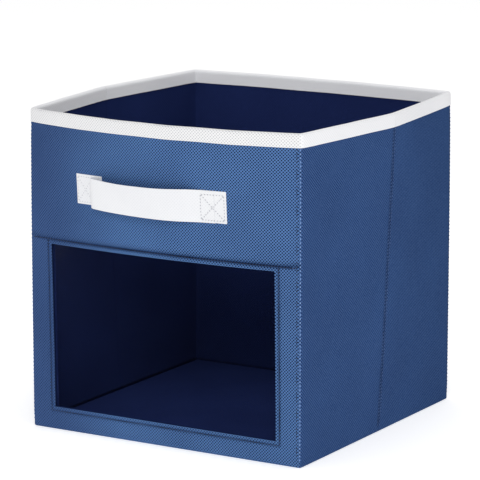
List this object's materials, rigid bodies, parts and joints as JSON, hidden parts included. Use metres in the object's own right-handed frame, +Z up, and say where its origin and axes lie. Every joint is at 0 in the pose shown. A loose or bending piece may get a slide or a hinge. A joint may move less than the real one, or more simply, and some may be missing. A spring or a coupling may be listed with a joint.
{
  "type": "fabric storage bin",
  "caption": "Open-topped collapsible fabric storage bin with a clear front window, a strap handle, a bound rim and a loose stiff base.",
  "frame": {"origin": "on the floor, under the middle of the bin's square base", "axes": "+Z up, the front wall with the window faces -Y, +X to the right seen from the front"},
  "size_m": [0.2686, 0.2957, 0.279],
  "materials": {
    "blue_nonwoven": "matte, embossed",
    "white_nonwoven": "matte, embossed",
    "dark_lining": "matte",
    "greyboard": "matte",
    "clear_vinyl": "clear, glossy",
    "blue_thread": "satin",
    "white_thread": "satin"
  },
  "bodies": {
    "front_wall": {"front_skin": "blue_nonwoven", "front_lining": "dark_lining", "front_upper_board": "greyboard", "front_window_board": "greyboard", "window_sheet": "clear_vinyl", "window_stitching": "blue_thread", "front_binding": "white_nonwoven", "handle_end_left": "white_nonwoven", "handle_end_right": "white_nonwoven", "handle_stitching_left": "white_thread", "handle_stitching_right": "white_thread", "base_cloth": "blue_nonwoven"},
    "handle": {"handle_strap": "white_nonwoven"},
    "right_front": {"right_front_skin": "blue_nonwoven", "right_front_board": "greyboard", "right_front_lining": "dark_lining", "right_front_binding": "white_nonwoven"},
    "right_rear": {"right_rear_skin": "blue_nonwoven", "right_rear_board": "greyboard", "right_rear_lining": "dark_lining", "right_rear_binding": "white_nonwoven"},
    "left_front": {"left_front_skin": "blue_nonwoven", "left_front_board": "greyboard", "left_front_lining": "dark_lining", "left_front_binding": "white_nonwoven"},
    "left_rear": {"left_rear_skin": "blue_nonwoven", "left_rear_board": "greyboard", "left_rear_lining": "dark_lining", "left_rear_binding": "white_nonwoven"},
    "back_wall": {"back_skin": "blue_nonwoven", "back_board": "greyboard", "back_lining": "dark_lining", "back_binding": "white_nonwoven"},
    "insert": {"insert_wrap": "dark_lining", "insert_board": "greyboard", "insert_face": "dark_lining"}
  },
  "joints": [
    {"name": "wall_fold", "type": "hinge", "parent": "front_wall", "child": "right_front", "pos_m": [0.1288, -0.1288, 0], "axis": [0, 0, 1], "range_deg": [0, 90]},
    {"name": "right_crease", "type": "hinge", "parent": "right_front", "child": "right_rear", "pos_m": [0.1365, 0, 0], "axis": [0, 0, 1], "range_deg": [-180, 0]},
    {"name": "back_corner", "type": "hinge", "parent": "right_rear", "child": "back_wall", "pos_m": [0.1288, 0.1288, 0], "axis": [0, 0, 1], "range_deg": [0, 90]},
    {"name": "left_fold", "type": "hinge", "parent": "front_wall", "child": "left_front", "pos_m": [-0.1288, -0.1288, 0], "axis": [0, 0, 1], "range_deg": [-90, 0]},
    {"name": "left_crease", "type": "hinge", "parent": "left_front", "child": "left_rear", "pos_m": [-0.1365, 0, 0], "axis": [0, 0, 1], "range_deg": [0, 180]},
    {"name": "handle_pull", "type": "slide", "parent": "front_wall", "child": "handle", "axis": [0, -1, 0], "range_m": [0, 0.014]},
    {"name": "insert_lift", "type": "slide", "parent": "front_wall", "child": "insert", "axis": [0, 0, 1], "range_m": [0, 0.3]}
  ],
  "couplings": [
    {"joint": "right_crease", "follows": "wall_fold", "ratio": -2},
    {"joint": "back_corner", "follows": "wall_fold", "ratio": 1},
    {"joint": "left_fold", "follows": "wall_fold", "ratio": -1},
    {"joint": "left_crease", "follows": "wall_fold", "ratio": 2}
  ]
}
